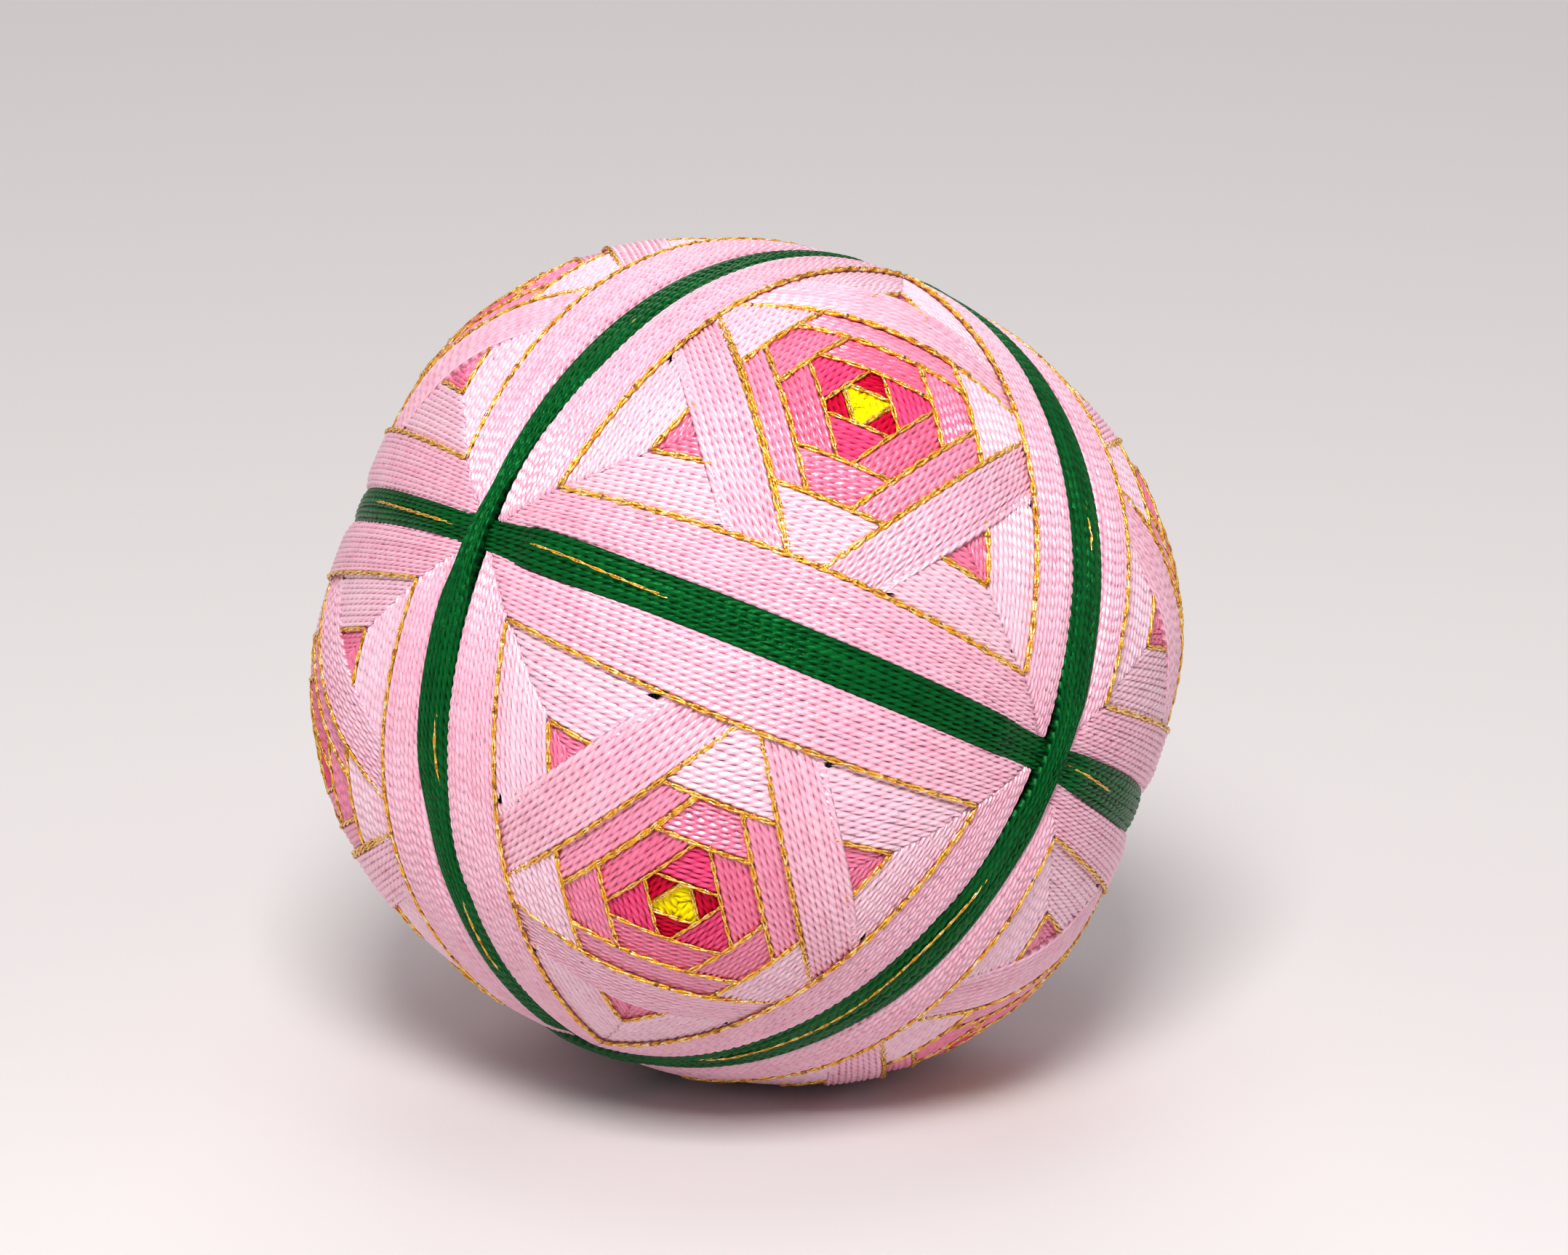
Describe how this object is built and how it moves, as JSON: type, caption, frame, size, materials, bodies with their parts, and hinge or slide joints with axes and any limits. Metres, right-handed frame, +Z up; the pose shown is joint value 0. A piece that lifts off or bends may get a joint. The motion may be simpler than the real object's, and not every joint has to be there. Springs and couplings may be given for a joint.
{
  "type": "temari ball",
  "caption": "Round thread ball wound with green bands and stitched with pink and gold layered roses, resting on a small flat spot.",
  "frame": {"origin": "middle of the small flat spot that the ball rests on", "axes": "+Z up through the ball, -Y towards the side that shows two whole roses, +X to that view's right"},
  "size_m": [0.0972, 0.0973, 0.0929],
  "materials": {
    "base": "matt dark sewing thread",
    "green": "dark green twisted cotton with a soft sheen",
    "yellow": "bright yellow thread",
    "red": "deep red to hot pink twisted cotton",
    "pink": "mid pink twisted cotton",
    "pale": "pale pink twisted cotton with a soft sheen",
    "border": "pale pink twisted cotton",
    "gold": "two-ply metallic gold thread"
  },
  "bodies": {
    "root": {"base_ball": "base", "band_first": "green", "band_second": "green", "band_third": "green", "heart_front_upper": "yellow", "red_front_upper": "red", "pink_front_upper": "pink", "pale_front_upper": "pale", "border_front_upper": "border", "heart_front_lower": "yellow", "red_front_lower": "red", "pink_front_lower": "pink", "pale_front_lower": "pale", "border_front_lower": "border", "heart_left_upper": "yellow", "red_left_upper": "red", "pink_left_upper": "pink", "pale_left_upper": "pale", "border_left_upper": "border", "heart_left_lower": "yellow", "red_left_lower": "red", "pink_left_lower": "pink", "pale_left_lower": "pale", "border_left_lower": "border", "heart_right_upper": "yellow", "red_right_upper": "red", "pink_right_upper": "pink", "pale_right_upper": "pale", "border_right_upper": "border", "heart_right_lower": "yellow", "red_right_lower": "red", "pink_right_lower": "pink", "pale_right_lower": "pale", "border_right_lower": "border", "heart_back_upper": "yellow", "red_back_upper": "red", "pink_back_upper": "pink", "pale_back_upper": "pale", "border_back_upper": "border", "heart_back_lower": "yellow", "red_back_lower": "red", "pink_back_lower": "pink", "pale_back_lower": "pale", "border_back_lower": "border"}
  },
  "joints": []
}
